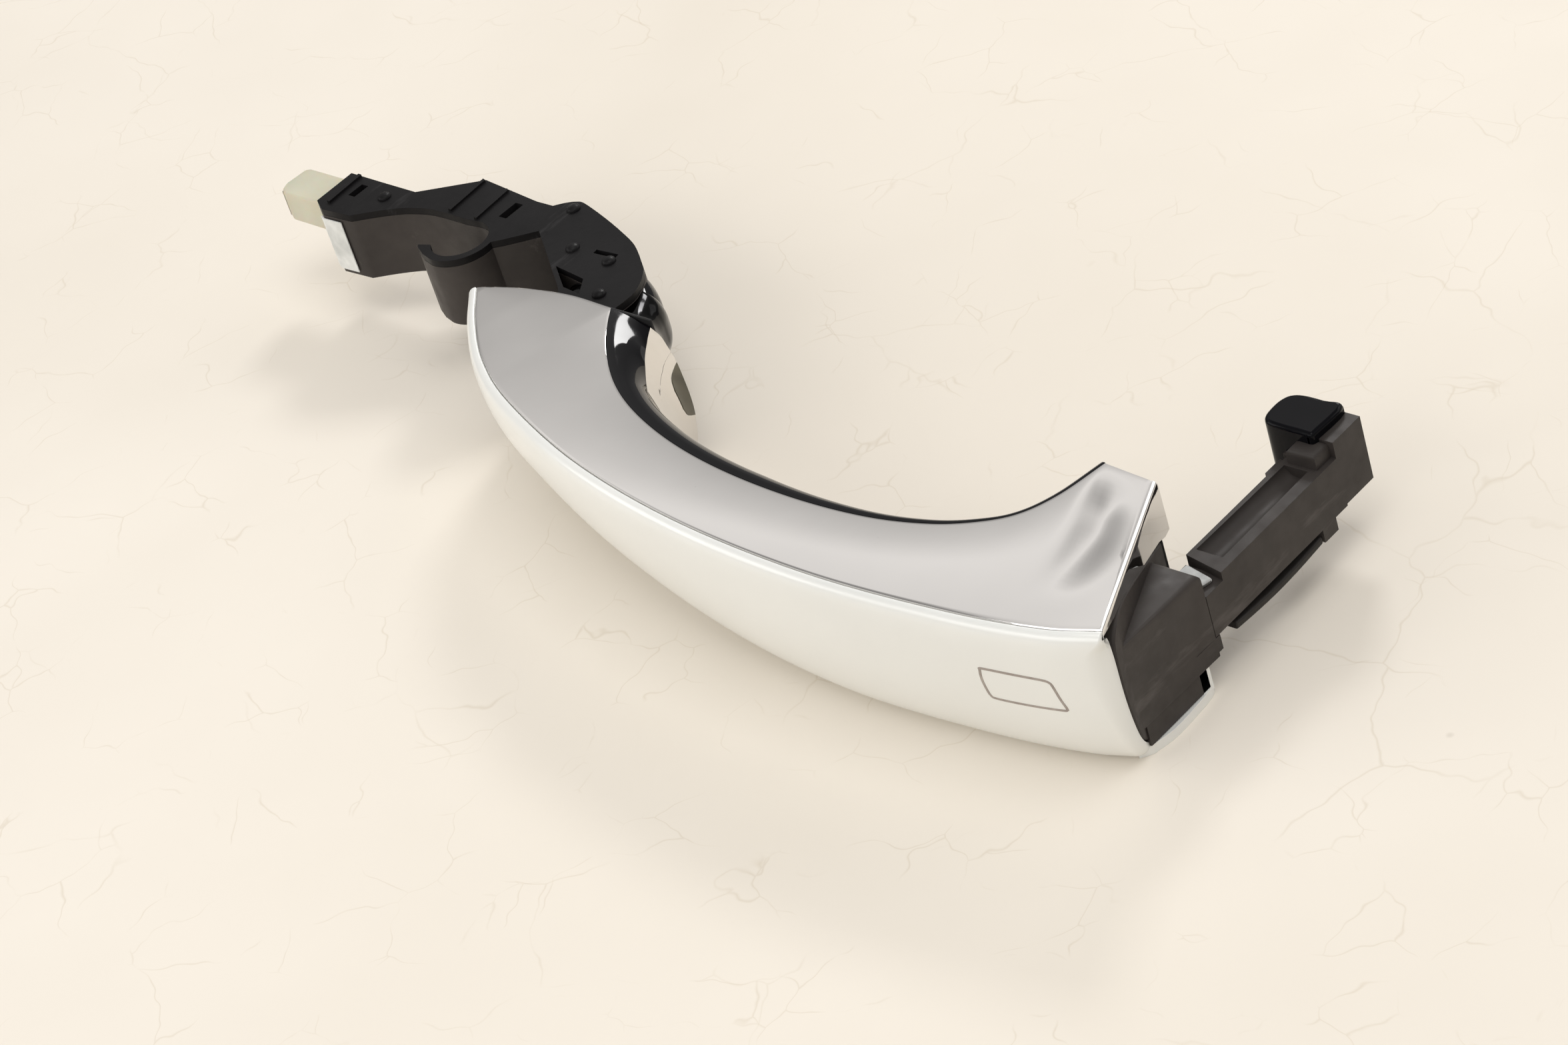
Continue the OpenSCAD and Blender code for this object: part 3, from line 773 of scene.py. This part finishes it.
def pull_arm():
    """Arm into the door, with a long round-bottomed groove, an end block and two lugs."""
    x0, x1 = 254.0, ARM_FACE
    beam = prism("pull_arm", [(x0, -25.2), (x1, -27.2), (x1, 15.5), (x0, 15.5)], -10, 3.2)
    combine(beam, [prism("arm_root", box_plan(x0, -33.3, x1, -26), -10, 1),
                   prism("arm_end", box_plan(x0 - 1.5, 12.5, x0 + 7, 25.5), -9.5, 3.1),
                   prism("arm_block", box_plan(x1 - 4.3, 15.2, x1, 25.5), -9.5, 7.5),
                   prism("arm_lug", box_plan(x0 + 0.5, 6, x1, 11), -13.4, -9),
                   prism("arm_ear", [(x0 - 2.4, 6.5), (x0 + 1, 4.5), (x0 + 1, 12), (x0 - 2.4, 12)], -6, 1.6)])
    middle, half, floor = 258.6, 3.4, 3.4
    hollow = [(half * math.cos(math.radians(a)), floor + 2.9 * math.sin(math.radians(a)))
              for a in range(180, 361, 12)] + [(half, 6), (-half, 6)]
    ends = ((-22.8, 1.06), (9.0, 0.94))
    groove = closed_loft("groove", [[(middle + widen * dx, y, z) for dx, z in hollow] for y, widen in ends])
    combine(beam, [fix_normals(groove)], "DIFFERENCE")
    soften(beam, 0.45, 2, 40)
    return place(beam, "black_plastic", "pull_arm")


def hook_head():
    """Glossy head that hooks behind the door carrier."""
    plan = spline([(261.2, 13.4), (261.2, 25.2), (256, 25.5), (250.6, 25.4), (247.6, 24.2), (246.3, 21.6),
                   (246.2, 18), (246.8, 15.4), (248.6, 13.9), (252.5, 13.5), (257, 13.5), (261.2, 13.4)], 4)
    head = prism("hook_head", plan[:-1], -9, 9.8)
    soften(head, 1.2, 4, 40)
    return place(head, "gloss_black", "hook_nose", material=HOOK_BLACK)


def rest_button():
    """Rounded stop between the groove and the hook head."""
    boss = domed("rest_button", [(255.8, 9.8), (263.6, 10.0), (263.6, 15.8), (255.8, 15.8)], 0.5, 7.0, 1.4)
    return place(boss, "gloss_black", material=BLACK)


def arm_pad():
    """Small pale pad at the arm's root."""
    pad = prism("arm_pad", [(254.6, -30.8), (262.6, -31.4), (263.4, -28.4), (255, -26.6)], 0.9, 2.2)
    soften(pad, 0.7, 3)
    return place(pad, "white_foam", "arm_root_pad")


def rattle_strip():
    """Bowed strip that springs against the underside of the arm."""
    x0, x1, low, high = 255.4, 264.9, -13.4, -11.3
    rings = []
    for t in np.linspace(0, 1, 25):
        y = -26.3 + 31.7 * t
        bow = 0.9 * math.sin(math.pi * t)
        rings.append([(x0, y, low - bow * 0.6), (x1 - 0.5, y, low - bow), (x1, y, low + 0.4 - bow),
                      (x1, y, high - 0.3 - bow), (x1 - 0.5, y, high - bow), (x0, y, high - bow)])
    strip = fix_normals(closed_loft("rattle_strip", rings))
    soften(strip, 0.3, 2, 50)
    return place(strip, "spring_plastic", "anti_rattle_spring", body="rattle_spring")


# ---------------------------------------------------------------- gooseneck

SEAT_R = 7.5         # pivot seat
SEAT_X = 0.3


def arc(cx, cy, r, start, end, count):
    """Points on an arc between two angles in degrees."""
    turn = np.radians(np.linspace(start, end, count))
    return [(cx + r * math.cos(a), cy + r * math.sin(a)) for a in turn]


def neck_outline():
    """Plan of the gooseneck with its C-shaped pivot seat."""
    far = [(-55, 12.5), (-42, 12.2), (-29, 12), (-13, 23.3), (9, 20.5), (15, 20.5)]
    bend = spline([(15, 20.5), (17.3, 22.6), (20, 24.2), (23, 24.4), (33, 21.4), (42.5, 18), (50.4, 14.6),
                   (57.6, 9.6), (61.5, 6.2), (64.6, 1), (65.8, -3.8), (65, -13)], 5).tolist()
    near = [(50, -13), (43.6, -7.0), (35.2, -0.9), (19.8, 10.3), (12.6, 3.6)]
    lip = arc(SEAT_X, 0, SEAT_R + 2.6, 10, -96, 22)
    tip = [(-4.6, -9.0), (-8.6, -7.0), (-9.2, -6.2)]
    seat = arc(SEAT_X, 0, SEAT_R + 0.3, -140, 100, 44)
    back = spline([(-3.9, 7.3), (-11.4, 7.5), (-18.9, 7.2), (-25, 5.6), (-29, 3.8), (-34.2, 0.6),
                   (-39.4, -3.1)], 5).tolist()
    return far + bend[1:] + near + lip + tip + seat + back[1:] + [(-50, -3.5), (-54.7, -0.9)]


# Plan of the triangular opening through the cover and into the body
OPENING = [(36.2, -0.1), (47.7, -1.8), (51.4, -7.2), (45, -6.4)]
CUT_TOP = 20         # clear above the cover


def neck_body():
    """Structural gooseneck, with the tongue that ties it to the grip."""
    body = prism("neck_body", neck_outline(), -NECK_TOP, COVER_SEAM)
    combine(body, [prism("neck_tongue", box_plan(50, -24, 65, -12.5), -9, COVER_SEAM)])
    combine(body, [prism("neck_opening", OPENING, -7, CUT_TOP)], "DIFFERENCE")
    soften(body, 0.5, 2, 40)
    return place(body, "black_plastic", "gooseneck")


def neck_cover():
    """Cover plate with its openings and three low ribs."""
    cover = prism("neck_cover", neck_outline(), COVER_SEAM + 0.12, NECK_TOP)
    cuts = [("cut_triangle", OPENING),
            ("cut_slot", [(42, 7.9), (49.5, 8.3), (49.2, 9.8), (41.8, 9.4)]),
            ("cut_window", box_plan(3.6, 11.5, 6.4, 18)),
            ("cut_end_window", box_plan(-47.5, 4.2, -45, 9.4))]
    combine(cover, [prism(name, plan, 0, CUT_TOP) for name, plan in cuts], "DIFFERENCE")
    ribs = [([(-50.8, -0.6), (-49.6, -0.7), (-50.4, 12.2), (-51.6, 12.2)], 0.75),
            ([(-12.6, 8.6), (-11.4, 8.5), (-12.4, 22.6), (-13.4, 22.8)], 0.7),
            ([(-2.4, 8.2), (-1.2, 8.1), (-2.2, 21.3), (-3.2, 21.6)], 0.7)]
    combine(cover, [prism("rib", plan, COVER_SEAM, NECK_TOP + rise) for plan, rise in ribs])
    soften(cover, 0.35, 2, 40)
    return place(cover, "cover_plastic", "gooseneck_cover")


def stakes():
    """Round heads of the melted pegs that hold the cover."""
    spots = [(22, 21.3), (35, 7.5), (49, 6.5), (57, -5.5), (-36, 7)]
    profile = [(0.01, -1.4), (1.9, -1.4), (1.9, 0.1), (1.75, 0.55), (1.35, 0.9), (0.7, 1.1), (0.01, 1.15)]
    heads = [turned("heat_stake_heads", profile, (x, y, NECK_TOP), 28) for x, y in spots]
    return place(combine(heads[0], heads[1:]), "cover_plastic", "heat_stakes")


def connector():
    """Hollow shell of the connector at the tip."""
    plan = [(-75.6, 5.4), (-74.6, 2.8), (-72.4, 1.6), (-52, 1.2), (-52, 13), (-73.8, 13.2), (-75.2, 12.2)]
    shell = prism("connector", plan, -2.2, 7)
    combine(shell, [prism("mouth", box_plan(-80, 3.2, -59, 11.6), -0.7, 5.4)], "DIFFERENCE")
    soften(shell, 0.8, 3, 40)
    return place(shell, "natural_plastic", "connector_shell")


def end_label():
    """Plain paper label on the near side, folded round the end."""
    plan = [(-52, -3.2), (-50, -4.05), (-43.4, -3.85), (-43.4, -3.6), (-50, -3.7), (-51.9, -2.9)]
    return place(prism("end_label", plan, -8.6, 7.2), "label", "label_sticker")


COLLAR_X = 40        # inner end of the collar and its ring, hidden by the gooseneck


def flared_ring(name, points, z0, z1, r):
    """A plate with round corners of radius r, whose outer end follows a spline of (y, x)."""
    line = spline(points, 5)
    high_y = line[:, 0].max()
    rings = []
    for y, x1 in line:
        # Lower and rounder towards its free end
        end = 2.5 * (1 - math.sqrt(max(0.0, 1 - max(0.0, (y - high_y + 3.0) / 3.0) ** 2)))
        low, high = z0 + end, z1 - end
        corners = [(x1 - r, high - r, 0), (COLLAR_X + r, high - r, 90), (COLLAR_X + r, low + r, 180),
                   (x1 - r, low + r, 270)]
        outline = [point for cx, cz, start in corners for point in arc(cx, cz, r, start, start + 90, 16)]
        rings.append([(x, y, z) for x, z in outline])
    return fix_normals(closed_loft(name, rings))


def collar():
    """Gloss black bulge round the gooseneck."""
    line = [(-2, 71.4), (1.5, 69.6), (4.4, 67.0), (6.4, 64.4), (8.2, 61.4), (9.6, 58.4), (10.2, 56.2)]
    return place(flared_ring("collar", line, -9, 7.7, 6), "gloss_black", "neck_collar")


def ring():
    """Darker bright ring between that collar and the foot."""
    line = [(-13, 84), (-10, 80.2), (-8.5, 78.6), (-5, 74.8), (-2, 72.7), (0, 71.6), (2, 70.2), (3.6, 68.7),
            (4.2, 67.4)]
    return place(flared_ring("ring", line, -10, 7.8, 7), "bright_trim", "collar_ring", material=DARK_CHROME)


def gasket():
    """Dark seal along the door edge of the front foot."""
    back = [(42, -18.5), (46, -17.2), (60, -15.2), (87.5, -15.4)]
    face = [(87.5, -16.1), (75, -16.1), (60, -15.9), (46, -18.0), (42, -19.1)]
    made = prism("front_seal", back + face, BASE_Z + 3, TOP_Z - 1.0)
    soften(made, 0.4, 2, 40)
    return place(made, "black_rubber", "front_gasket")


LENS_STATIONS = 7


def lens():
    """Courtesy-light lens set in the bright wall at the door side of the front foot."""
    rings = []
    for j, (p, g, size, share) in enumerate(gap_frames()[:LENS_STATIONS]):
        face = grip_section(size, share)[1]
        spread = math.sqrt(max(0.0, 1 - (j / (LENS_STATIONS - 0.6)) ** 6))
        low, high = -9.5 + 0.45 * j, 4.6 - 0.3 * j
        middle, half = (low + high) / 2, (high - low) / 2 * spread
        heights = np.linspace(middle - half, middle + half, 12)
        front = [(float(np.interp(z, face[::-1, 1], face[::-1, 0])) + 0.1, z) for z in heights]
        rings.append(leaned(set_out(p, g, front + [(o - 1.2, z) for o, z in front[::-1]]), j))
    made = fix_normals(closed_loft("light_lens_face", rings))
    return place(made, "light_lens", "light_lens")


# Section of the touch mark's line, as (across, height above the face)
MARK_LINE = ((-0.42, -0.2), (-0.32, 0.07), (0.32, 0.07), (0.42, -0.2))


def touch_mark(face):
    """Fine outline of the touch area, laid on the painted face; the darker grey of its line is painted shade,
    standing in for the groove of the real outline.
    """
    corners = [(238.2, 5.6), (238.9, 6.1), (246.5, 6.0), (253.2, 5.7), (254.8, 5.2), (255.3, 4.2), (256.0, 0),
               (256.5, -2.4), (256.1, -3.0), (254.8, -3.1), (247, -3.1), (239.6, -2.9), (238.3, -2.3),
               (237.9, 0), (237.8, 3), (238.2, 5.6)]
    line = resample(spline(corners, 6), 150)[:-1]
    shown = face.evaluated_get(bpy.context.evaluated_depsgraph_get())
    rings = []
    for i, (x, z) in enumerate(line):
        _, at, normal, _ = shown.ray_cast(Vector((x, -120, z)) * MM, Vector((0, 1, 0)))
        step = line[(i + 1) % len(line)] - line[i - 1]
        along = Vector((step[0], 0, step[1]))
        along = (along - normal * along.dot(normal)).normalized()
        across = normal.cross(along)
        rings.append([at / MM + across * a + normal * h for a, h in MARK_LINE])
    # The last ring of faces runs back to the first points, which closes the loop
    count = len(rings) * len(MARK_LINE)
    faces = [tuple(k % count for k in f) for f in grid_faces(len(rings) + 1, len(MARK_LINE), wrap=True)]
    made = fix_normals(new_piece("touch_mark", np.array(rings).reshape(-1, 3), faces))
    return place(made, "mark_line", "sensor_mark")


# ---------------------------------------------------------------- scene

# The scene's own lengths, from here on, are in metres
FLOOR_HALF = 3.2
# Brightness of the surroundings from straight down (0) over the horizon (0.5) to straight up (1)
SKY = [(0.0, 0.34), (0.30, 0.34), (0.46, 0.48), (0.515, 0.60), (0.556, 0.78), (0.585, 1.0), (0.62, 0.92),
       (0.72, 0.34), (1.0, 0.24)]
SKY_STRENGTH = 0.92
# Name, place, aim, width, height, power and colour
LAMPS = [("key", (0.45, -0.1, 1.6), (0.14, -0.03, 0), 1.3, 1.1, 11, (1.0, 0.985, 0.96)),
         ("front", (0.2, -1.55, 0.95), (0.12, -0.03, 0), 2.0, 1.0, 9, (1.0, 0.985, 0.96)),
         ("left", (-1.4, -1.1, 0.7), (0.05, -0.03, 0), 1.0, 0.9, 6, (1.0, 0.99, 0.97)),
         ("window", (-0.465, 1.11, 0.835), (0.08, -0.02, 0), 0.32, 0.22, 5.5, (1.0, 0.99, 0.98)),
         ("back_strip", (0.75, 1.55, 0.8), (0.2, -0.03, 0), 1.4, 1.0, 5, (1.0, 0.99, 0.97))]


def floor():
    """The table that the handle lies on."""
    mesh = bpy.data.meshes.new("floor")
    corners = box_plan(-FLOOR_HALF, -FLOOR_HALF, FLOOR_HALF, FLOOR_HALF)
    mesh.from_pydata([(x, y, BASE_Z * MM) for x, y in corners], [], [(0, 1, 2, 3)])
    made = bpy.data.objects.new("floor", mesh)
    made.data.materials.append(table_top())
    bpy.context.scene.collection.objects.link(made)


def surroundings():
    """A soft room that is brightest just above the horizon."""
    world = bpy.data.worlds.new("studio")
    bpy.context.scene.world = world
    world.use_nodes = True
    tree = world.node_tree
    sky = tree.nodes["Background"]
    coords = tree.nodes.new("ShaderNodeTexCoord")
    split = tree.nodes.new("ShaderNodeSeparateXYZ")
    ramp = tree.nodes.new("ShaderNodeValToRGB")
    tree.links.new(coords.outputs["Generated"], split.inputs[0])
    tree.links.new(split.outputs["Z"], ramp.inputs["Fac"])
    tree.links.new(ramp.outputs[0], sky.inputs["Color"])
    set_stops(ramp.color_ramp, [(at, (grey, grey * 0.975, grey * 0.95)) for at, grey in SKY])
    sky.inputs["Strength"].default_value = SKY_STRENGTH


def softbox(name, at, towards, width, height, power, colour):
    """Rectangular lamp that faces a point."""
    data = bpy.data.lights.new(name, "AREA")
    data.shape = "RECTANGLE"
    data.size, data.size_y = width, height
    data.energy = power
    data.color = colour
    lamp = bpy.data.objects.new(name, data)
    lamp.location = at
    lamp.rotation_mode = "QUATERNION"
    lamp.rotation_quaternion = (Vector(towards) - Vector(at)).to_track_quat("-Z", "Y")
    bpy.context.scene.collection.objects.link(lamp)


CAMERA_AT = Vector((0.7747, -0.5294, 0.5408))
AZIMUTH, ELEVATION, ROLL = 52.219, 34.602, -18.211
SENSOR, LENS_LENGTH = 36.0, 96.43


def camera():
    """Long lens at the photo's viewing angle, with the roll of a hand-held picture."""
    a, e, r = (math.radians(v) for v in (AZIMUTH, ELEVATION, ROLL))
    back = Vector((math.sin(a) * math.cos(e), -math.cos(a) * math.cos(e), math.sin(e)))
    level = Vector((math.cos(a), math.sin(a), 0))
    right = level * math.cos(r) + back.cross(level) * math.sin(r)
    up = back.cross(right)
    data = bpy.data.cameras.new("camera")
    data.sensor_width = SENSOR
    data.lens = LENS_LENGTH
    data.clip_start, data.clip_end = 0.02, 20
    cam = bpy.data.objects.new("camera", data)
    turn = Matrix((right, up, back)).transposed().to_4x4()
    cam.matrix_world = Matrix.Translation(CAMERA_AT) @ turn
    bpy.context.scene.collection.objects.link(cam)
    bpy.context.scene.camera = cam


camera()
floor()
surroundings()
for lamp in LAMPS:
    softbox(*lamp)
bpy.context.scene.view_settings.view_transform = "Standard"

for build in (bright_top, black_roll, bright_wall, rear_cap, shell_lip, pull_arm, hook_head,
              rest_button, arm_pad, rattle_strip, neck_body, neck_cover, stakes, connector, end_label,
              collar, ring, gasket, lens):
    build()
touch_mark(painted_face())

# CAD nodes take the finish that the record names
for row in frame["record"]["subparts"]:
    node = frame["nodes"][row["node"]]
    node.data.materials.clear()
    node.data.materials.append(FINISHES[row["material_slot"]])
